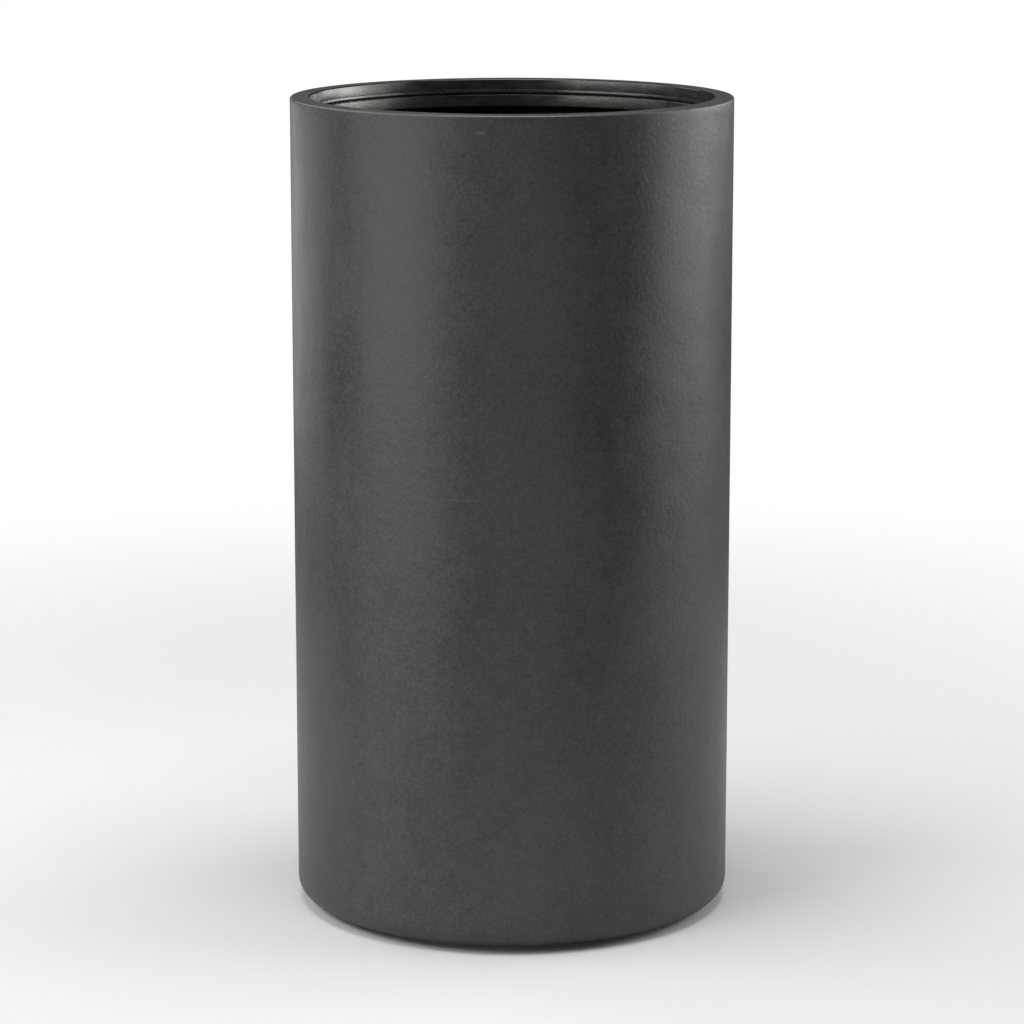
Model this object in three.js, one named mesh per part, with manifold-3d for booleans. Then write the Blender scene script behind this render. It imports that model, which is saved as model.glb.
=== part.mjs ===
// Tall round fiberglass planter: a moulded shell with a rolled rim, the stiffening ring bonded under
// that rim, a reinforced floor with a lined drain hole and its rubber stopper, and four rubber feet.
// Millimetres, +Z up. The origin is at the centre of the footprint, on the surface that it stands on.

import * as THREE from "three";
import { mergeVertices } from "three/addons/utils/BufferGeometryUtils.js";
import Module from "manifold-3d";

// Overall size
const outerDiameter = 330;
const overallHeight = 614;

// Moulded shell
const wallThickness = 5;
const baseThickness = 5;
const baseCornerRadius = 13;
const rimLandWidth = 15;
const rimFlangeThickness = 4.5;
const rimOuterRounding = 2;
const rimInnerRounding = 2;
const returnDepth = 8.2;
const returnThickness = 4;

// Stiffening ring under the rim, from its bead down
const beadHeight = 3.3;
const beadProjection = 1.5;
const grooveHeight = 1.7;
const grooveDepth = 1;
const bandHeight = 8;
const bandProjection = 0.4;
const ringEdgeRounding = 1;

// Reinforced floor
const floorCoreThickness = 9;
const floorSkinThickness = 3;
const floorFlangeWidth = 8;
const floorEdgeRounding = 5;

// Drain
const drainBore = 26;
const drainTaper = 1;
const bushWall = 2.5;
const bushFlangeWidth = 8;
const bushFlangeThickness = 2.5;
const plugReach = 14;
const plugHeadOverlap = 5;
const plugHeadThickness = 3;
const plugTabWidth = 17;
const plugTabHeight = 13;
const plugTabThickness = 4;
const plugGripLength = 20;
const plugGripDiameter = 6.5;

// Feet
const footDiameter = 28;
const footThickness = 5;
const footPocketDepth = 1.5;
const footInset = 45;
const footEdgeRounding = 1;

// Gap between two pieces that meet, and the rounding that breaks a small edge
const clearance = 0.3;
const edgeBreak = 0.8;

// Facets round a large piece, round a small one and round the plug's grip, and along a rounded corner:
// cornerFacets, or edgeFacets where its radius is under fineRounding
const largeFacets = 72;
const smallFacets = 36;
const gripFacets = 18;
const cornerFacets = 4;
const edgeFacets = 2;
const fineRounding = 1.2;

// Radii and heights that the pieces share
const outerRadius = outerDiameter / 2;
const innerRadius = outerRadius - wallThickness;
const innerCornerRadius = Math.max(baseCornerRadius - wallThickness, edgeBreak);
const returnInner = outerRadius - rimLandWidth;
const returnOuter = returnInner + returnThickness;
const flangeUnderside = overallHeight - rimFlangeThickness;
const returnEdge = overallHeight - returnDepth;
const shellBottom = footThickness + clearance - footPocketDepth;
const baseTop = shellBottom + baseThickness;
const floorSeat = baseTop + clearance;
const coreTop = floorSeat + floorCoreThickness;
const floorTop = coreTop + clearance + floorSkinThickness;
const floorEdge = innerRadius - innerCornerRadius - clearance;
const skirtOuter = floorEdge - floorFlangeWidth;
const skirtInner = skirtOuter - floorSkinThickness;
const boreTop = drainBore / 2;
const bushRadius = boreTop + bushWall;
const bushFlangeRadius = bushRadius + bushFlangeWidth;
const bushTop = floorTop;
const bushSeat = bushTop - bushFlangeThickness;
const drainHole = bushRadius + clearance;
const recessRadius = bushFlangeRadius + clearance;
const recessFloor = bushSeat - clearance;
const recessUnderside = recessFloor - floorSkinThickness;
const recessOuter = recessRadius + floorSkinThickness;
const footRadius = footDiameter / 2;
const footCircle = outerRadius - footInset;

// Vertices this close are one
const mergeDistance = 1e-4;

const wasm = await Module();
wasm.setup();

const fiberglass = new THREE.MeshStandardMaterial({ color: 0x3b3b3d, roughness: 0.42, metalness: 0 });
const laminate = new THREE.MeshStandardMaterial({ color: 0x2c2c2d, roughness: 0.7, metalness: 0 });
const plywood = new THREE.MeshStandardMaterial({ color: 0xb08d5f, roughness: 0.75, metalness: 0 });
const bushPlastic = new THREE.MeshStandardMaterial({ color: 0x1d1d1e, roughness: 0.5, metalness: 0 });
const rubber = new THREE.MeshStandardMaterial({ color: 0x161616, roughness: 0.85, metalness: 0 });

// The points of the corner between two neighbours: one, or an arc where it is rounded.
function cornerPoints(before, corner, after, rounding) {
  if (rounding === 0) {
    return [corner];
  }
  const back = before.clone().sub(corner).normalize();
  const ahead = after.clone().sub(corner).normalize();
  const halfAngle = Math.acos(back.dot(ahead)) / 2;
  const centre = back.clone().add(ahead).setLength(rounding / Math.sin(halfAngle)).add(corner);
  const tangent = rounding / Math.tan(halfAngle);
  const start = back.multiplyScalar(tangent).add(corner).sub(centre).angle();
  const end = ahead.multiplyScalar(tangent).add(corner).sub(centre).angle();
  const turn = THREE.MathUtils.euclideanModulo(end - start + Math.PI, 2 * Math.PI) - Math.PI;
  const facets = rounding < fineRounding ? edgeFacets : cornerFacets;
  return Array.from({ length: facets + 1 }, (_, i) => {
    const angle = start + (turn * i) / facets;
    return new THREE.Vector2(Math.cos(angle), Math.sin(angle)).multiplyScalar(rounding).add(centre);
  });
}

// The points of a section from its corners, each [radius, height] or [radius, height, rounding]. A
// closed one, listed counter-clockwise, returns to its start, and an open one starts and ends on the axis.
function sectionPoints(corners, closed) {
  const places = corners.map(([radius, height]) => new THREE.Vector2(radius, height));
  const points = corners.flatMap(([, , rounding = 0], i) =>
    cornerPoints(places.at(i - 1), places[i], places[(i + 1) % places.length], rounding),
  );
  return closed ? [...points, points[0].clone()] : points;
}

// A turned solid about +Z.
function turned(corners, facets, closed = true) {
  return new THREE.LatheGeometry(sectionPoints(corners, closed), facets).rotateX(Math.PI / 2);
}

function toSolid(geometry) {
  geometry.deleteAttribute("normal");
  geometry.deleteAttribute("uv");
  const merged = mergeVertices(geometry, mergeDistance);
  return new wasm.Manifold(
    new wasm.Mesh({
      numProp: 3,
      vertProperties: merged.attributes.position.array,
      triVerts: new Uint32Array(merged.index.array),
    }),
  );
}

function toGeometry(solid) {
  const mesh = solid.getMesh();
  const geometry = new THREE.BufferGeometry();
  geometry.setAttribute("position", new THREE.BufferAttribute(mesh.vertProperties, 3));
  geometry.setIndex(new THREE.BufferAttribute(mesh.triVerts, 1));
  geometry.computeVertexNormals();
  return geometry;
}

// Wall, rim, return and base as one moulding, with a central drain hole and four pockets for the feet.
function outerShell() {
  const body = toSolid(
    turned(
      [
        [drainHole, shellBottom],
        [outerRadius, shellBottom, baseCornerRadius],
        [outerRadius, overallHeight, rimOuterRounding],
        [returnInner, overallHeight, rimInnerRounding],
        [returnInner, returnEdge],
        [returnOuter, returnEdge],
        [returnOuter, flangeUnderside],
        [innerRadius, flangeUnderside],
        [innerRadius, baseTop, innerCornerRadius],
        [drainHole, baseTop],
      ],
      largeFacets,
    ),
  );
  const pocketRadius = footRadius + clearance;
  const pocketTop = shellBottom + footPocketDepth;
  const pocketCorners = [
    [0, 0],
    [pocketRadius, 0],
    [pocketRadius, pocketTop],
    [0, pocketTop],
  ];
  const pocketed = footPlaces().reduce((shell, { x, y }) => {
    const pocket = turned(pocketCorners, smallFacets, false).translate(x, y, 0);
    return shell.subtract(toSolid(pocket));
  }, body);
  return toGeometry(pocketed);
}

// Fills the corner between rim and wall: a tongue behind the return, then bead, groove and plain band.
function rimRing() {
  const ringOuter = innerRadius - clearance;
  const tongueInner = returnOuter + clearance;
  const tongueTop = flangeUnderside - clearance;
  const beadTop = returnEdge - clearance;
  const beadRadius = returnInner - beadProjection;
  const beadBottom = beadTop - beadHeight;
  const beadRounding = Math.min(beadProjection, beadHeight / 2);
  const grooveRadius = returnInner + grooveDepth;
  const bandTop = beadBottom - grooveHeight;
  const bandRadius = returnInner - bandProjection;
  const bandBottom = bandTop - bandHeight;
  return turned(
    [
      [bandRadius, bandBottom, ringEdgeRounding],
      [ringOuter, bandBottom, ringEdgeRounding],
      [ringOuter, tongueTop],
      [tongueInner, tongueTop],
      [tongueInner, beadTop],
      [beadRadius, beadTop, beadRounding],
      [beadRadius, beadBottom, beadRounding],
      [grooveRadius, beadBottom],
      [grooveRadius, bandTop],
      [bandRadius, bandTop, ringEdgeRounding],
    ],
    largeFacets,
  );
}

// Lies on the base, with a counterbore round the drain hole for the skin's recess.
function floorCore() {
  const coreRadius = skirtInner - clearance;
  const counterbore = recessOuter + clearance;
  const counterboreFloor = recessUnderside - clearance;
  return turned(
    [
      [drainHole, floorSeat],
      [coreRadius, floorSeat],
      [coreRadius, coreTop, floorEdgeRounding],
      [counterbore, coreTop],
      [counterbore, counterboreFloor],
      [drainHole, counterboreFloor],
    ],
    largeFacets,
  );
}

// Laid over the core, down its edge, and out along the base to where the wall's corner begins. It dips
// round the drain hole, so that the bush's flange lies level with the floor.
function floorSkin() {
  const skinUnderside = coreTop + clearance;
  const flangeTop = floorSeat + floorSkinThickness;
  return turned(
    [
      [skirtInner, floorSeat],
      [floorEdge, floorSeat],
      [floorEdge, flangeTop, edgeBreak],
      [skirtOuter, flangeTop, edgeBreak],
      [skirtOuter, floorTop, floorEdgeRounding],
      [recessRadius, floorTop],
      [recessRadius, recessFloor],
      [drainHole, recessFloor],
      [drainHole, recessUnderside],
      [recessOuter, recessUnderside],
      [recessOuter, skinUnderside],
      [skirtInner, skinUnderside, edgeBreak],
    ],
    largeFacets,
  );
}

// Lines the drain hole from the floor's top to the underside of the base, with a tapered bore.
function drainBush() {
  return turned(
    [
      [boreTop - drainTaper, shellBottom],
      [bushRadius, shellBottom],
      [bushRadius, bushSeat],
      [bushFlangeRadius, bushSeat],
      [bushFlangeRadius, bushTop, edgeBreak],
      [boreTop, bushTop, edgeBreak],
    ],
    smallFacets,
  );
}

// The bore's radius at a height inside the bush.
function boreRadiusAt(height) {
  return boreTop - (drainTaper * (bushTop - height)) / (bushTop - shellBottom);
}

// A tapered stopper with a head that rests on the bush, and a tab with a round grip to pull it by.
function drainPlug() {
  const headSeat = bushTop + clearance;
  const headTop = headSeat + plugHeadThickness;
  const headRadius = boreTop + plugHeadOverlap;
  const tip = bushTop - plugReach;
  const stopper = turned(
    [
      [0, tip],
      [boreRadiusAt(tip) - clearance, tip, edgeBreak],
      [boreTop - edgeBreak, headSeat],
      [headRadius, headSeat],
      [headRadius, headTop, edgeBreak],
      [0, headTop],
    ],
    smallFacets,
    false,
  );
  const gripHeight = headTop + plugTabHeight;
  const tab = new THREE.BoxGeometry(plugTabWidth, plugTabThickness, gripHeight - headSeat);
  tab.translate(0, 0, (gripHeight + headSeat) / 2);
  const gripRun = plugGripLength - plugGripDiameter;
  const grip = new THREE.CapsuleGeometry(plugGripDiameter / 2, gripRun, cornerFacets, gripFacets);
  grip.rotateZ(Math.PI / 2).translate(0, 0, gripHeight);
  return toGeometry(toSolid(stopper).add(toSolid(tab)).add(toSolid(grip)));
}

// One foot, standing on the ground at the origin.
function foot() {
  return turned(
    [
      [0, 0],
      [footRadius, 0, footEdgeRounding],
      [footRadius, footThickness, footEdgeRounding],
      [0, footThickness],
    ],
    smallFacets,
    false,
  );
}

// Where the four feet stand: between the front, right, back and left of the planter.
function footPlaces() {
  const sides = ["front_right", "back_right", "back_left", "front_left"];
  return sides.map((side, i) => {
    const angle = (Math.PI / 2) * i - Math.PI / 4;
    return { side, x: footCircle * Math.cos(angle), y: footCircle * Math.sin(angle) };
  });
}

const planter = new THREE.Group();

function add(name, geometry, material) {
  const mesh = new THREE.Mesh(geometry, material);
  mesh.name = name;
  planter.add(mesh);
  return mesh;
}

add("outer_shell", outerShell(), fiberglass);
add("rim_ring", rimRing(), fiberglass);
add("floor_core", floorCore(), plywood);
add("floor_skin", floorSkin(), laminate);
add("drain_bush", drainBush(), bushPlastic);
add("drain_plug", drainPlug(), rubber);
footPlaces().forEach(({ side, x, y }) => {
  add(`foot_${side}`, foot(), rubber).position.set(x, y, 0);
});

export default planter;
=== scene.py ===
import math

import bmesh
import bpy
from mathutils import Matrix, Vector, noise


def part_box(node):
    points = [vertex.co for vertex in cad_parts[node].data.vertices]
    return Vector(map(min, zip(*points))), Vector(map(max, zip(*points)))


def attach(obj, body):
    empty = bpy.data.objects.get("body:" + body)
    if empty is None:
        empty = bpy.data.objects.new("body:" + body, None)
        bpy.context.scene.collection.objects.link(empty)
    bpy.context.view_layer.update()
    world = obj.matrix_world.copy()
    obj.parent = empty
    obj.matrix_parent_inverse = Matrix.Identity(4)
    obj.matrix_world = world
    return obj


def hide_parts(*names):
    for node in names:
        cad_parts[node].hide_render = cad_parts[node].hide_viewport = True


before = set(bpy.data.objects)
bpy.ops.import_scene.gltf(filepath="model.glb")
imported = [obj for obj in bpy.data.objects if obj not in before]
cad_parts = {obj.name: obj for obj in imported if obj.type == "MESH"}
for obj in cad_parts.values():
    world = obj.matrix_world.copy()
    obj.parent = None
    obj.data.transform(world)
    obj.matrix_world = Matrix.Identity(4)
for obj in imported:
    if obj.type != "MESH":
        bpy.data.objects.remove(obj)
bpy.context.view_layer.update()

# Sizes in metres, from the frame where it holds them
MM = 0.001
CLEARANCE = 0.3 * MM
SHELL_LOW, SHELL_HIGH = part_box("outer_shell")
RING_LOW, RING_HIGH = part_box("rim_ring")
CORE_LOW, CORE_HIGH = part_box("floor_core")
SKIN_LOW, SKIN_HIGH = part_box("floor_skin")
BUSH_LOW, BUSH_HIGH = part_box("drain_bush")
PLUG_LOW, PLUG_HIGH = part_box("drain_plug")

OUTER = SHELL_HIGH.x
INNER = RING_HIGH.x + CLEARANCE
TOP = SHELL_HIGH.z
BOTTOM = SHELL_LOW.z
BASE_TOP = CORE_LOW.z - CLEARANCE
FLANGE_UNDERSIDE = RING_HIGH.z + CLEARANCE
RIM_ROUNDING = 1.6 * MM
RETURN_ROUNDING = 1 * MM
LIP_ROUNDING = 0.2 * MM
BASE_CORNER = 13 * MM
INNER_CORNER = BASE_CORNER - (OUTER - INNER)
RETURN_FACE = OUTER - 15 * MM
RETURN_BACK = RETURN_FACE + 4 * MM
RETURN_EDGE = TOP - 8.2 * MM
RETURN_LEAN = 1.2 * MM

BOND_LINE = 0.08 * MM
BEAD_TOP = RETURN_EDGE - BOND_LINE
BEAD_FULL = BEAD_TOP - 1.7 * MM
BEAD_BOTTOM = RETURN_EDGE - 3.0 * MM
BEAD_ROUNDING = 4 * MM
BEAD = RETURN_FACE - 1.5 * MM
GROOVE = RETURN_FACE - 0.85 * MM
GROOVE_HEIGHT = 1.1 * MM
BAND_TOP = RETURN_FACE - 1.1 * MM
BAND_BOTTOM = RETURN_FACE - 2.4 * MM

FLOOR_SKIN = 3 * MM
FLOOR_FLANGE = 8 * MM
FLOOR_EDGE_ROUNDING = 5 * MM
FLANGE_EDGE_ROUNDING = 1.4 * MM
VENEERS = 7

BORE_TOP = 13 * MM
BORE_BOTTOM = 12 * MM
BUSH_SLEEVE = 15.5 * MM
DRAIN_HOLE = BUSH_SLEEVE + CLEARANCE
BUSH_FLANGE = 2.5 * MM
BUSH_SEAT = BUSH_HIGH.z - BUSH_FLANGE
BUSH_RIM = 2.5 * MM
BUSH_GROOVES = 8
BUSH_GROOVE_DEPTH = 0.7 * MM
BUSH_GROOVE_SHARE = 0.45
RECESS = BUSH_HIGH.x + CLEARANCE

PLUG_SEAT = BUSH_HIGH.z + CLEARANCE
PLUG_HEAD = 3 * MM
TAB_WIDTH = 17 * MM
TAB_THICKNESS = 4 * MM
TAB_FILLET = 2.5 * MM
TAB_SPREAD = (1.2 * MM, 1.0 * MM)
TAB_TIP = 0.2 * MM
TAB_SQUARENESS = 4
GRIP_LENGTH = 20 * MM
GRIP_RADIUS = 3.25 * MM

FOOT_NODES = [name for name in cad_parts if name.startswith("foot_")]
FOOT_GROOVE = 0.7 * MM
FOOT_HOLLOW = 4 * MM
FOOT_RING = (5 * MM, 8 * MM)
FOOT_EDGE = 10.2 * MM
FOOT_SLOPE = 0.6 * MM
FOOT_ROUNDING = 0.3 * MM

# How far the faces of a hand-laid shell stray from the drawing, and over what lengths
WALL_WAVE = 0.16 * MM
WALL_WAVE_LENGTHS = (75 * MM, 24 * MM)
LAID_LUMPS = 0.45 * MM
LAID_LUMP_SIZES = (17 * MM, 7 * MM)
LAID_FADE = 12 * MM
RIM_DIP = 0.12 * MM
RIM_DIP_LENGTH = 60 * MM
FLOOR_LUMPS = 0.35 * MM
FLOOR_LUMP_SIZE = 21 * MM

# Level rubs on the front of the wall: place across, height, length, width and strength
RUBS = (
    (-22.4 * MM, 601.7 * MM, 10 * MM, 1.3 * MM, 0.5),
    (-36 * MM, 339 * MM, 36 * MM, 0.9 * MM, 0.2),
)

# Fineness of the meshes
AROUND = 192
SMALL_AROUND = 96
TAB_AROUND = 64
TAB_ROWS = 24
ARC_STEPS = 8
LONGEST = 6 * MM
SHARP_ANGLE = math.radians(38)

# The camera, by a fit to the outline of the planter in the photograph. Lens and sensor in millimetres
CAMERA_DISTANCE = 2.7496
CAMERA_HEIGHT = BOTTOM + 0.8471
CAMERA_DIP = 0.1983
LENS = 129.78
SENSOR_WIDTH = 36

# The studio, whose floor turns from pale to plain white between two distances
FLOOR_REACH = 30.0
PALE_UNTIL = 0.6
WHITE_FROM = 1.6
FLOOR_TONES = (0.80, 0.82)
FLOOR_BOUNCE = 0.60
FAR_GLOW = 0.08

# Softboxes round the planter, aimed at its middle: name, azimuth in degrees (0 is the camera's side
# and 90 the right), height, distance, width and height of its face, and the face's glow
LAMPS = (
    ("left_key", -57, 1.62, 2.0, 1.8, 1.0, 3.9),
    ("left_side", -95, 1.62, 2.0, 0.9, 1.0, 4.8),
    ("left_back", -135, 1.5, 2.0, 0.9, 0.9, 2.0),
    ("low_left", -57, 0.27, 2.0, 1.8, 0.5, 2.7),
    ("low_back_left", -132, 0.27, 2.0, 1.8, 0.5, 1.15),
    ("low_front", 8, 0.25, 1.9, 1.6, 0.5, 0.8),
    ("right_core", 112, 0.86, 2.0, 0.8, 0.6, 3.7),
    ("right_wash", 112, 0.82, 2.1, 2.4, 0.6, 2.5),
    ("right_high", 85, 1.5, 2.0, 0.9, 0.9, 3.0),
    ("right_back", 135, 0.82, 2.0, 0.9, 0.6, 1.3),
    ("low_right", 97, 0.27, 2.0, 1.8, 0.5, 1.7),
    ("overhead", 0, 3.0, 0.3, 1.8, 1.8, 5.1),
)


class Value:
    """One output of a finish's nodes. Arithmetic on values adds Math nodes."""

    def __init__(self, finish, socket):
        self.finish = finish
        self.socket = socket

    def math(self, operation, *others):
        return self.finish.node("Math", {0: self, **dict(enumerate(others, 1))}, operation=operation)

    def __add__(self, other):
        return self.math("ADD", other)

    def __radd__(self, other):
        return self.math("ADD", other)

    def __sub__(self, other):
        return self.math("SUBTRACT", other)

    def __rsub__(self, other):
        return self.finish.node("Math", {0: other, 1: self}, operation="SUBTRACT")

    def __mul__(self, other):
        return self.math("MULTIPLY", other)

    def __abs__(self):
        return self.math("ABSOLUTE")

    def between(self, low, high):
        """0 at low, 1 at high, and smooth from one to the other."""
        limits = {"Value": self, "From Min": low, "From Max": high}
        return self.finish.node("MapRange", limits, interpolation_type="SMOOTHSTEP")


class Finish:
    """The nodes of a material, or of the world, while they are being built."""

    def __init__(self, owner):
        owner.use_nodes = True
        self.owner = owner
        self.tree = owner.node_tree
        self.tree.nodes.clear()

    def node(self, kind, inputs=(), output=0, **settings):
        """Adds one node, with its settings first and then the values or links of its sockets."""
        made = self.tree.nodes.new("ShaderNode" + kind)
        for name, setting in settings.items():
            setattr(made, name, setting)
        for key, given in dict(inputs).items():
            if isinstance(given, Value):
                self.tree.links.new(given.socket, made.inputs[key])
            else:
                made.inputs[key].default_value = given
        return Value(self, made.outputs[output]) if made.outputs else made

    def place(self):
        """The place on the piece, in metres from the planter's origin."""
        return self.node("TexCoord", output="Object")

    def part(self, place, axis):
        """A place's distance along one axis."""
        return self.node("SeparateXYZ", {"Vector": place}, output=axis)

    def stretched(self, place, along):
        """The same place, with its three lengths multiplied."""
        return self.node("VectorMath", {0: place, 1: along}, operation="MULTIPLY")

    def noise(self, place, size, detail=2.0, rough=0.5, warp=0.0):
        """Cloudy noise from 0 to 1, whose lumps are about size metres across."""
        inputs = {"Vector": place, "Scale": 1 / size, "Detail": detail, "Roughness": rough}
        inputs["Distortion"] = warp
        return self.node("TexNoise", inputs)

    def mix(self, share, first, second):
        """The first colour where share is 0, and the second where it is 1."""
        inputs = {0: share, 6: first, 7: second}
        return self.node("Mix", inputs, output=2, data_type="RGBA")

    def bump(self, height, depth):
        """A normal for a relief, where a height of 1 is depth metres."""
        return self.node("Bump", {"Height": height, "Distance": depth})

    def surface(self, colour, roughness, normal, **constants):
        """Ends the material in a shader, whose constants are named with _ for spaces."""
        inputs = {"Base Color": colour, "Roughness": roughness, "Normal": normal}
        inputs.update({name.replace("_", " "): setting for name, setting in constants.items()})
        shader = self.node("BsdfPrincipled", inputs)
        self.node("OutputMaterial", {"Surface": shader})
        return self.owner


def grey(level, blue=1.0):
    """A grey, whose blue is stronger or weaker by a factor."""
    return (level, level, level * blue, 1)


def rub(finish, place, x, z, length, width):
    """A level mark on the front of the wall, 1 in its middle and fading to 0 round it."""
    past_end = abs(finish.part(place, "X") - x).between(length * 0.15, length / 2)
    past_edge = abs(finish.part(place, "Z") - z).between(width * 0.2, width)
    front = finish.part(place, "Y").between(0.0, -OUTER / 2)
    return (1 - past_end) * (1 - past_edge) * front


def gel_coat():
    """Charcoal gel coat: satin, with a pebbled grain and a cloudy sheen, and with painted light: paler at
    the top of the rim, for the light that falls on it from above.
    """
    coat = Finish(bpy.data.materials.new("charcoal gel coat"))
    place = coat.place()
    # painted light: marks the top of the rim, which is made paler to stand for the light from above
    painted_rim_light = coat.part(place, "Z").between(TOP - 2.2 * MM, TOP - 0.6 * MM)
    fine = coat.noise(place, 1.4 * MM, 1.0)
    pebbles = coat.noise(place, 3.2 * MM, 2.0, 0.5)
    dimples = coat.noise(place, 9 * MM, 2.0)
    patches = coat.noise(place, 17 * MM, 3.0, 0.6)
    waves = coat.noise(place, 38 * MM, 1.0)
    clouds = coat.noise(coat.stretched(place, (1, 1, 0.45)), 45 * MM, 3.0, 0.55)
    specks = coat.noise(place, 2.4 * MM, 2.0, 0.6).between(0.70, 0.76)
    marks = sum(rub(coat, place, *where) * strength for *where, strength in RUBS)
    grain = (fine - 0.5) * 1.3 + (pebbles - 0.5) * 1.1
    sheen = (clouds - 0.5) * 1.1 + (patches - 0.5) * 0.7
    shade = grain + sheen * 0.8 + 0.5
    colour = coat.mix(shade.between(-0.1, 1.1), grey(0.030, 1.10), grey(0.064))
    # the rubs are paler wear and the specks are paler tone; the rim's top is painted light, made paler for
    # the light from above
    colour = coat.mix(marks + painted_rim_light * 0.34 + specks * 0.3, colour, grey(0.15))
    roughness = 0.40 + grain * 0.12 + sheen * 0.16 + marks * 0.1
    relief = fine * 0.5 + pebbles * 1.4 + dimples * 1.2 + patches * 1.2 + waves * 6
    return coat.surface(colour, roughness, coat.bump(relief, 0.12 * MM), IOR=1.56)


def inner_coat():
    """The glossier and darker coat inside the rim, rolled on round it."""
    coat = Finish(bpy.data.materials.new("inner coat"))
    place = coat.place()
    round_it = coat.stretched(place, (1, 1, 4))
    streaks = coat.noise(round_it, 24 * MM, 4.0, 0.6)
    grain = coat.noise(place, 3 * MM, 2.0)
    sags = coat.noise(place, 15 * MM, 3.0)
    colour = coat.mix(streaks.between(0.25, 0.75), grey(0.012, 0.94), grey(0.026, 0.94))
    roughness = 0.27 + (streaks - 0.5) * 0.24 + (grain - 0.5) * 0.04
    bumped = coat.bump(streaks * 0.5 + sags + grain * 0.1, 0.25 * MM)
    settings = {"Specular_Tint": (1, 1, 0.9, 1), "Coat_Weight": 0.35, "Coat_Roughness": 0.24}
    return coat.surface(colour, roughness, bumped, IOR=1.56, **settings)


def laid_laminate():
    """The rough laid side: chopped strands under a thin dark flow coat."""
    coat = Finish(bpy.data.materials.new("laid laminate"))
    place = coat.place()
    strands = None
    for i, size in enumerate((6 * MM, 9 * MM, 4 * MM)):
        moved = coat.node("VectorMath", {0: place, 1: (0.3 * i, 0.7 * i, 0.2 * i)}, operation="ADD")
        web = abs(coat.noise(moved, size, 1.0, 0.4, 0.6) - 0.5)
        fibre = 1 - web.between(0.0, 0.045)
        strands = fibre if strands is None else strands.math("MAXIMUM", fibre)
    lumps = coat.noise(place, 14 * MM, 3.0)
    clouds = coat.noise(place, 70 * MM, 3.0)
    grain = coat.noise(place, 1.2 * MM, 2.0)
    shade = strands * 0.35 + lumps * 0.4 + clouds * 0.25
    colour = coat.mix(shade.between(0.15, 0.8), grey(0.016), grey(0.040, 0.98))
    roughness = 0.62 - strands * 0.12 + (clouds - 0.5) * 0.2
    relief = strands * 0.45 + lumps * 0.6 + grain * 0.12
    return coat.surface(colour, roughness, coat.bump(relief, 0.5 * MM), Specular_IOR_Level=0.45)


def plywood():
    """Thin veneers, with end grain on the edge and long grain on the faces."""
    wood = Finish(bpy.data.materials.new("plywood"))
    place = wood.place()
    veneer = (CORE_HIGH.z - CORE_LOW.z) / VENEERS
    turn = ((wood.part(place, "Z") - CORE_LOW.z) * (math.pi / veneer)).math("SINE")
    glue = 1 - abs(turn).between(0.0, 0.25)
    long_grain = wood.noise(wood.stretched(place, (1, 14, 14)), 22 * MM, 4.0, 0.6, 0.8)
    cross_grain = wood.noise(wood.stretched(place, (14, 1, 14)), 22 * MM, 4.0, 0.6, 0.8)
    pores = wood.noise(wood.stretched(place, (2, 30, 30)), 12 * MM, 2.0).between(0.6, 0.8)
    layer = turn.between(-0.1, 0.1)
    grain = long_grain * layer + cross_grain * (1 - layer)
    colour = wood.mix(grain.between(0.25, 0.75), (0.52, 0.33, 0.17, 1), (0.30, 0.165, 0.075, 1))
    colour = wood.mix(glue * 0.7 + pores * 0.3, colour, (0.12, 0.055, 0.02, 1))
    roughness = 0.62 + (grain - 0.5) * 0.2
    return wood.surface(colour, roughness, wood.bump(grain + pores * 0.6 - glue * 0.4, 0.12 * MM))


def bush_plastic():
    """Black moulded plastic with a fine spark-eroded texture."""
    plastic = Finish(bpy.data.materials.new("bush plastic"))
    place = plastic.place()
    spark = plastic.noise(place, 0.7 * MM, 3.0, 0.6)
    clouds = plastic.noise(place, 9 * MM, 3.0)
    silt = plastic.noise(place, 4 * MM, 4.0, 0.65).between(0.52, 0.75)
    colour = plastic.mix(clouds.between(0.3, 0.7), grey(0.012), grey(0.020))
    colour = plastic.mix(silt * 0.25, colour, (0.075, 0.062, 0.048, 1))
    roughness = 0.46 + (spark - 0.5) * 0.2 + silt * 0.15
    return plastic.surface(colour, roughness, plastic.bump(spark + clouds * 0.3, 0.06 * MM))


def rubber():
    """Matt black rubber with a bloom on it and fine pits."""
    skin = Finish(bpy.data.materials.new("black rubber"))
    place = skin.place()
    cells = skin.node("TexVoronoi", {"Vector": place, "Scale": 1 / (1.3 * MM)}, feature="F1")
    pits = cells.between(0.35, 0.1)
    grain = skin.noise(place, 0.9 * MM, 3.0, 0.6)
    bloom = skin.noise(place, 8 * MM, 4.0, 0.6)
    colour = skin.mix(bloom.between(0.35, 0.75), grey(0.010), grey(0.034, 0.97))
    roughness = 0.78 + (bloom - 0.5) * 0.25
    return skin.surface(colour, roughness, skin.bump(grain - pits * 0.5, 0.08 * MM), Specular_IOR_Level=0.35)


def corner_points(before, corner, after, rounding):
    """The points of one corner of a section: itself, or an arc where it is rounded."""
    if rounding == 0:
        return [corner]
    back = (before - corner).normalized()
    ahead = (after - corner).normalized()
    half_angle = back.angle(ahead) / 2
    centre = corner + (back + ahead).normalized() * rounding / math.sin(half_angle)
    start = corner + back * rounding / math.tan(half_angle) - centre
    end = corner + ahead * rounding / math.tan(half_angle) - centre
    turn = math.atan2(start.cross(end), start.dot(end))
    return [centre + Matrix.Rotation(turn * i / ARC_STEPS, 2) @ start for i in range(ARC_STEPS + 1)]


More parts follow.
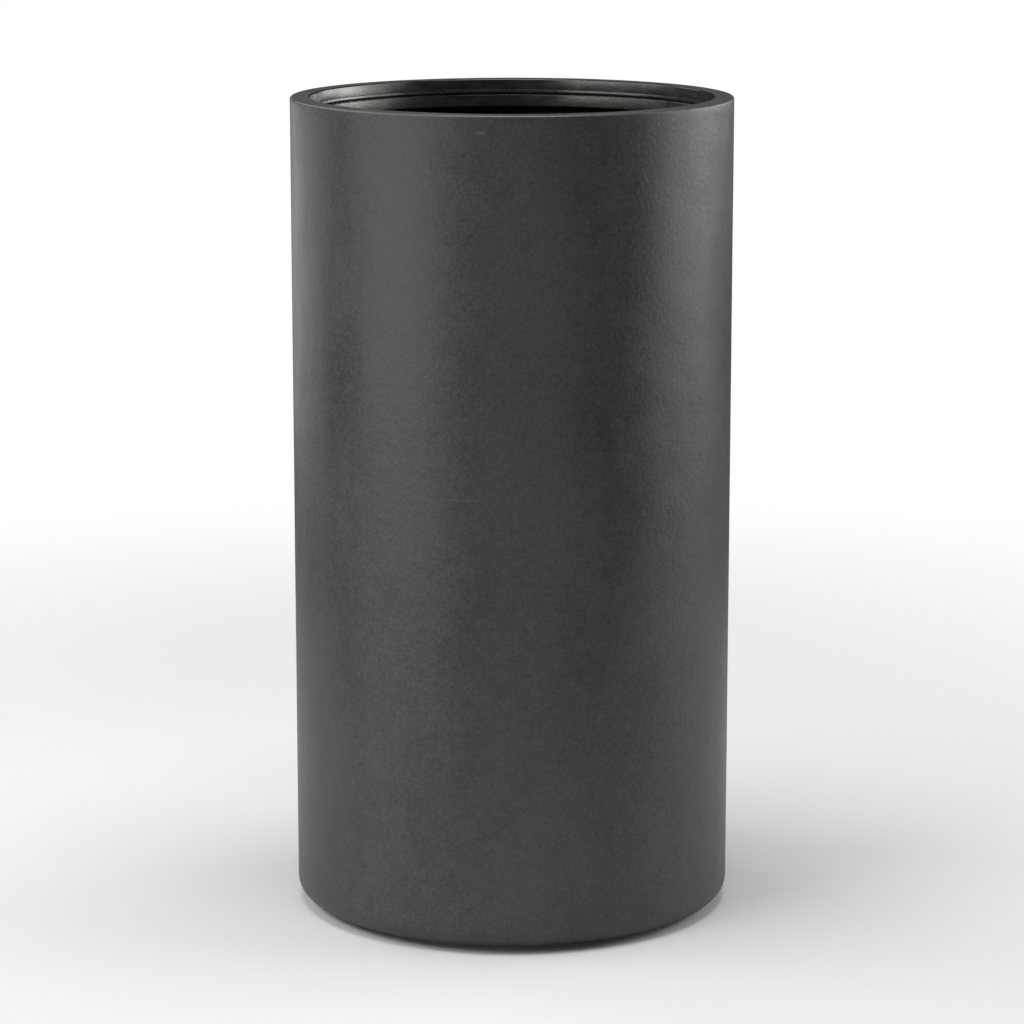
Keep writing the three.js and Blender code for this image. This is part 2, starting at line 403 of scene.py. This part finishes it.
def section_steps(section, closed):
    """The straight steps of a section, each (start, end, finish), none longer than LONGEST.

    A corner of a section is (radius, height), then its rounding and the number of its finish,
    which are left out where they are 0.
    """
    places = [Vector(corner[:2]) for corner in section]
    count = len(section)
    points = []
    for i, corner in enumerate(section):
        rounding = corner[2] if len(corner) > 2 else 0
        finish = corner[3] if len(corner) > 3 else 0
        ends = corner_points(places[i - 1], places[i], places[(i + 1) % count], rounding)
        points += [(point, finish) for point in ends]
    pairs = zip(points, points[1:] + points[:1] if closed else points[1:])
    steps = []
    for (start, finish), (end, _) in pairs:
        parts = max(1, math.ceil((end - start).length / LONGEST))
        for i in range(parts):
            steps.append((start.lerp(end, i / parts), start.lerp(end, (i + 1) / parts), finish))
    return steps


def turned(section, around, closed=True):
    """A bmesh of a section turned about the planter's axis."""
    mesh = bmesh.new()
    steps = section_steps(section, closed)
    outline = [step[0] for step in steps] + ([] if closed else [steps[-1][1]])
    rows = []
    for radius, height in outline:
        angles = (2 * math.pi * k / around for k in range(around))
        rows.append([mesh.verts.new((radius * math.cos(a), radius * math.sin(a), height)) for a in angles])
    for i, (_, _, finish) in enumerate(steps):
        here, there = rows[i], rows[(i + 1) % len(rows)]
        for k in range(around):
            face = mesh.faces.new((here[k - 1], here[k], there[k], there[k - 1]))
            face.material_index = finish
            face.smooth = True
    bmesh.ops.remove_doubles(mesh, verts=mesh.verts, dist=1e-6)
    bmesh.ops.recalc_face_normals(mesh, faces=mesh.faces)
    return mesh


def placed(name, data):
    """Puts an object with this data in the scene."""
    made = bpy.data.objects.new(name, data)
    bpy.context.scene.collection.objects.link(made)
    return made


def solid(name, mesh):
    """An object of a bmesh, which is used up."""
    data = bpy.data.meshes.new(name)
    mesh.to_mesh(data)
    mesh.free()
    return placed(name, data)


def piece(name, mesh, finishes, node, body="planter"):
    """A visible piece, which stands for a node and moves with its body."""
    made = solid(name, mesh)
    for finish in finishes:
        made.data.materials.append(finish)
    made.data.set_sharp_from_angle(angle=SHARP_ANGLE)
    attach(made, body)
    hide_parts(node)
    return made


def joined(kept, other, operation):
    """Cuts or joins one object with another, which goes."""
    change = kept.modifiers.new(operation.lower(), "BOOLEAN")
    change.object = other
    change.operation = operation
    change.solver = "EXACT"
    bpy.context.view_layer.update()
    evaluated = kept.evaluated_get(bpy.context.evaluated_depsgraph_get())
    data = bpy.data.meshes.new_from_object(evaluated)
    kept.modifiers.clear()
    old = kept.data
    kept.data = data
    bpy.data.meshes.remove(old)
    bpy.data.objects.remove(other)


def smooth_step(low, high, x):
    """0 at low, 1 at high, and smooth from one to the other."""
    share = min(max((x - low) / (high - low), 0), 1)
    return share * share * (3 - 2 * share)


def cloud(point, size):
    """Cloudy noise about 0.5, whose lumps are about size metres across."""
    return 0.5 + 0.5 * noise.noise(point / size)


def uneven(point):
    """Moves a point of the shell: the moulded face waves a little, and the laid face is lumpy."""
    radius = math.hypot(point.x, point.y)
    long_wave, short_wave = WALL_WAVE_LENGTHS
    wave = cloud(point, long_wave) + 0.2 * noise.noise(point / short_wave)
    outer = smooth_step(OUTER - 4 * MM, OUTER - 0.5 * MM, radius)
    large_lump, small_lump = LAID_LUMP_SIZES
    lump = cloud(point, large_lump) + 0.3 * noise.noise(point / small_lump)
    laid = smooth_step(RING_LOW.z - 1 * MM, RING_LOW.z - LAID_FADE, point.z)
    laid *= smooth_step(SKIN_HIGH.z, SKIN_HIGH.z + LAID_FADE, point.z) * (radius < OUTER - 4 * MM)
    inward = WALL_WAVE * wave * outer + LAID_LUMPS * lump * laid
    rim = RIM_DIP * smooth_step(TOP - 2 * MM, TOP, point.z) * cloud(point, RIM_DIP_LENGTH)
    scale = (radius - max(inward, 0)) / radius
    return Vector((point.x * scale, point.y * scale, point.z - rim))


def foot_pocket(low, high):
    """The hollow in the base that takes a foot, with its clearance."""
    radius = (high.x - low.x) / 2 + CLEARANCE
    below = BOTTOM - 1 * MM
    roof = high.z + CLEARANCE
    pocket = turned([(0, below), (radius, below), (radius, roof), (0, roof)], SMALL_AROUND, closed=False)
    centre = (low + high) / 2
    bmesh.ops.translate(pocket, vec=(centre.x, centre.y, 0), verts=pocket.verts)
    return solid("pocket", pocket)


def outer_shell(moulded, laid, inner):
    """The moulded wall, rim, return and base. The return and the laid side have finishes of their own."""
    section = [
        (DRAIN_HOLE, BOTTOM),
        (OUTER, BOTTOM, BASE_CORNER),
        (OUTER, TOP, RIM_ROUNDING),
        (RETURN_FACE, TOP, RETURN_ROUNDING, 2),
        (RETURN_FACE - RETURN_LEAN, RETURN_EDGE, LIP_ROUNDING, 1),
        (RETURN_BACK, RETURN_EDGE, 0, 1),
        (RETURN_BACK, FLANGE_UNDERSIDE, 0, 1),
        (INNER, FLANGE_UNDERSIDE, 0, 1),
        (INNER, BASE_TOP, INNER_CORNER, 1),
        (DRAIN_HOLE, BASE_TOP, 0, 1),
    ]
    mesh = turned(section, AROUND)
    for vertex in mesh.verts:
        vertex.co = uneven(vertex.co)
    shell = piece("moulded_shell", mesh, [moulded, laid, inner], "outer_shell")
    for low, high in map(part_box, FOOT_NODES):
        joined(shell, foot_pocket(low, high), "DIFFERENCE")


def rim_ring(inner):
    """The stiffening ring: bead, groove and band below the return, with a flange under the rim."""
    band_top = BEAD_BOTTOM - GROOVE_HEIGHT
    tongue = RETURN_BACK + CLEARANCE
    section = [
        (BAND_BOTTOM, RING_LOW.z, 1 * MM),
        (RING_HIGH.x, RING_LOW.z, 1 * MM),
        (RING_HIGH.x, RING_HIGH.z),
        (tongue, RING_HIGH.z),
        (tongue, BEAD_TOP),
        (RETURN_FACE - RETURN_LEAN, BEAD_TOP, LIP_ROUNDING),
        (BEAD, BEAD_FULL, BEAD_ROUNDING),
        (BEAD, BEAD_BOTTOM, 1 * MM),
        (GROOVE, BEAD_BOTTOM, 0.2 * MM),
        (GROOVE, band_top, 0.2 * MM),
        (BAND_TOP, band_top, 0.3 * MM),
    ]
    piece("stiffening_ring", turned(section, AROUND), [inner], "rim_ring")


def floor_skin(laid):
    """The laminate over the floor panel, bonded to the base round it, with a recess for the bush."""
    skirt_outer = SKIN_HIGH.x - FLOOR_FLANGE
    skirt_inner = skirt_outer - FLOOR_SKIN
    underside = SKIN_HIGH.z - FLOOR_SKIN
    flange_top = SKIN_LOW.z + FLOOR_SKIN
    recess_floor = BUSH_SEAT - CLEARANCE
    section = [
        (skirt_inner, SKIN_LOW.z),
        (SKIN_HIGH.x, SKIN_LOW.z),
        (SKIN_HIGH.x, flange_top, FLANGE_EDGE_ROUNDING),
        (skirt_outer, flange_top, FLANGE_EDGE_ROUNDING),
        (skirt_outer, SKIN_HIGH.z, FLOOR_EDGE_ROUNDING),
        (RECESS, SKIN_HIGH.z, 0.3 * MM),
        (RECESS, recess_floor),
        (DRAIN_HOLE, recess_floor),
        (DRAIN_HOLE, recess_floor - FLOOR_SKIN),
        (RECESS + FLOOR_SKIN, recess_floor - FLOOR_SKIN),
        (RECESS + FLOOR_SKIN, underside),
        (skirt_inner, underside, 0.8 * MM),
    ]
    mesh = turned(section, AROUND)
    for vertex in mesh.verts:
        radius = math.hypot(vertex.co.x, vertex.co.y)
        top = vertex.co.z > underside + 1 * MM
        clear = smooth_step(BUSH_HIGH.x + 2 * MM, BUSH_HIGH.x + 9 * MM, radius) * top
        vertex.co.z -= FLOOR_LUMPS * clear * cloud(vertex.co, FLOOR_LUMP_SIZE)
    piece("floor_laminate", mesh, [laid], "floor_skin")


def drain_bush(plastic):
    """The flanged bush, with shallow drain grooves across its flange."""
    flange = BUSH_HIGH.x
    section = [
        (BORE_BOTTOM, BUSH_LOW.z, 0.5 * MM),
        (BUSH_SLEEVE, BUSH_LOW.z, 0.5 * MM),
        (BUSH_SLEEVE, BUSH_SEAT),
        (flange, BUSH_SEAT, 0.3 * MM),
        (flange, BUSH_HIGH.z, 1.0 * MM),
        (flange - BUSH_RIM, BUSH_HIGH.z),
        (BORE_TOP, BUSH_HIGH.z, 0.8 * MM),
    ]
    mesh = turned(section, SMALL_AROUND * 2)
    for vertex in mesh.verts:
        radius = math.hypot(vertex.co.x, vertex.co.y)
        turn = math.atan2(vertex.co.y, vertex.co.x) * BUSH_GROOVES / 2
        groove = max(0, 1 - abs(math.sin(turn)) / BUSH_GROOVE_SHARE)
        top = smooth_step(BUSH_HIGH.z - 1.2 * MM, BUSH_HIGH.z - 0.2 * MM, vertex.co.z)
        out = smooth_step(BORE_TOP + 3 * MM, BORE_TOP + 6 * MM, radius)
        vertex.co.z -= BUSH_GROOVE_DEPTH * math.sqrt(groove) * top * out
    piece("drain_bush_moulding", mesh, [plastic], "drain_bush")


def pull_tab():
    """A slab that swells into a round grip, lofted upward in rounded rectangles."""
    grip_centre = PLUG_HIGH.z - GRIP_RADIUS
    tab_bottom = PLUG_SEAT + PLUG_HEAD / 2
    head_top = PLUG_SEAT + PLUG_HEAD
    spread_x, spread_y = TAB_SPREAD
    mesh = bmesh.new()
    rings = []
    for i in range(TAB_ROWS + 1):
        height = tab_bottom + (PLUG_HIGH.z - tab_bottom) * i / TAB_ROWS
        off = height - grip_centre
        swell = math.sqrt(max(GRIP_RADIUS ** 2 - off ** 2, 0))
        root = 1 - smooth_step(head_top, head_top + TAB_FILLET, height)
        half_x = max(TAB_WIDTH / 2 * (off < 0), GRIP_LENGTH / 2 - GRIP_RADIUS + swell) + spread_x * root
        half_y = max(max(TAB_THICKNESS / 2 * (off < 0), swell) + spread_y * root, TAB_TIP)
        end = min(half_y, half_x)
        ring = []
        for k in range(TAB_AROUND):
            angle = 2 * math.pi * k / TAB_AROUND
            c = math.cos(angle)
            x = (half_x - end) * math.copysign(min(1, abs(c) * TAB_SQUARENESS), c) + end * c
            ring.append(mesh.verts.new((x, half_y * math.sin(angle), height)))
        rings.append(ring)
    for lower, upper in zip(rings, rings[1:]):
        for k in range(TAB_AROUND):
            mesh.faces.new((lower[k - 1], lower[k], upper[k], upper[k - 1])).smooth = True
    mesh.faces.new(reversed(rings[0]))
    mesh.faces.new(rings[-1])
    bmesh.ops.recalc_face_normals(mesh, faces=mesh.faces)
    return mesh


def drain_plug(black_rubber):
    """The tapered stopper with its head and pull tab, which rides on the moving body."""
    head = PLUG_HIGH.x
    taper = (BORE_TOP - BORE_BOTTOM) / (BUSH_HIGH.z - BUSH_LOW.z)
    tip_radius = BORE_TOP - taper * (BUSH_HIGH.z - PLUG_LOW.z) - CLEARANCE
    section = [
        (0, PLUG_LOW.z),
        (tip_radius - 1.2 * MM, PLUG_LOW.z, 0.6 * MM),
        (tip_radius, PLUG_LOW.z + 1.6 * MM, 0.6 * MM),
        (BORE_TOP - 0.8 * MM, PLUG_SEAT, 0.2 * MM),
        (head, PLUG_SEAT, 0.4 * MM),
        (head, PLUG_SEAT + PLUG_HEAD, 1.1 * MM),
        (0, PLUG_SEAT + PLUG_HEAD),
    ]
    stopper = turned(section, SMALL_AROUND, closed=False)
    plug = piece("rubber_stopper", stopper, [black_rubber], "drain_plug", "plug")
    joined(plug, solid("tab", pull_tab()), "UNION")


def foot(node, black_rubber):
    """A rubber pad, whose tread is two flat rings with a groove between and a hollow within."""
    low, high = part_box(node)
    centre = (low + high) / 2
    radius = (high.x - low.x) / 2
    roof = low.z + FOOT_GROOVE
    ring_start, ring_end = FOOT_RING
    section = [
        (0, roof),
        (FOOT_HOLLOW, roof, FOOT_ROUNDING),
        (ring_start, low.z, FOOT_ROUNDING),
        (ring_end, low.z, FOOT_ROUNDING),
        (ring_end + FOOT_SLOPE, roof, 0.2 * MM),
        (FOOT_EDGE - FOOT_SLOPE, roof, 0.2 * MM),
        (FOOT_EDGE, low.z, FOOT_ROUNDING),
        (radius, low.z, 1 * MM),
        (radius, high.z, 0.8 * MM),
        (0, high.z),
    ]
    mesh = turned(section, SMALL_AROUND, closed=False)
    bmesh.ops.translate(mesh, vec=(centre.x, centre.y, 0), verts=mesh.verts)
    piece(node.replace("foot", "rubber_pad"), mesh, [black_rubber], node)


def floor_finish():
    """Pale near the planter, with its shadow, and plain white far from it. It throws less light back."""
    paint = Finish(bpy.data.materials.new("pale floor"))
    place = paint.place()
    away = paint.node("VectorMath", {0: place}, output="Value", operation="LENGTH")
    seen = paint.node("LightPath", output="Is Camera Ray")
    glossy = paint.node("LightPath", output="Is Glossy Ray")
    paleness = paint.mix(paint.noise(place, 4 * MM), *map(grey, FLOOR_TONES))
    matt = paint.node("BsdfDiffuse", {"Color": paint.mix(seen, grey(FLOOR_BOUNCE), paleness)})
    glow = paint.node("Emission", {"Color": grey(1), "Strength": seen + glossy * FAR_GLOW})
    shader = paint.node("MixShader", {0: away.between(PALE_UNTIL, WHITE_FROM), 1: matt, 2: glow})
    paint.node("OutputMaterial", {"Surface": shader})
    return paint.owner


def studio():
    """The floor, and a world that is white to the camera alone."""
    mesh = bmesh.new()
    bmesh.ops.create_grid(mesh, x_segments=2, y_segments=2, size=FLOOR_REACH)
    floor = solid("studio_floor", mesh)
    floor.data.materials.append(floor_finish())
    world = bpy.data.worlds.new("studio")
    bpy.context.scene.world = world
    sky = Finish(world)
    seen = sky.node("LightPath", output="Is Camera Ray")
    sky.node("OutputWorld", {"Surface": sky.node("Background", {"Color": grey(1), "Strength": seen})})


def softbox(name, azimuth, height, distance, width, tall, glow):
    """A soft lamp, whose face is as bright as glow whatever its size."""
    lamp = bpy.data.lights.new(name, "AREA")
    lamp.shape = "RECTANGLE"
    lamp.size = width
    lamp.size_y = tall
    lamp.energy = glow * math.pi * width * tall
    made = placed(name, lamp)
    turn = math.radians(azimuth)
    made.location = (distance * math.sin(turn), -distance * math.cos(turn), height)
    aim = Vector((0, 0, TOP / 2)) - made.location
    made.rotation_euler = aim.to_track_quat("-Z", "Y").to_euler()
    made.visible_camera = False


def camera():
    """The photograph's view of the planter."""
    lens = bpy.data.cameras.new("camera")
    lens.sensor_width = SENSOR_WIDTH
    lens.lens = LENS
    made = placed("camera", lens)
    made.location = (0, -CAMERA_DISTANCE, CAMERA_HEIGHT)
    made.rotation_euler = (math.pi / 2 - CAMERA_DIP, 0, 0)
    bpy.context.scene.camera = made


def dress():
    """Every piece of the planter in its finish."""
    moulded = gel_coat()
    laid = laid_laminate()
    black_rubber = rubber()
    inner = inner_coat()
    outer_shell(moulded, laid, inner)
    rim_ring(inner)
    floor_skin(laid)
    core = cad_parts["floor_core"]
    core.data.materials.clear()
    core.data.materials.append(plywood())
    drain_bush(bush_plastic())
    drain_plug(black_rubber)
    for node in FOOT_NODES:
        foot(node, black_rubber)


bpy.context.scene.view_settings.view_transform = "Standard"
camera()
dress()
studio()
for lamp in LAMPS:
    softbox(*lamp)
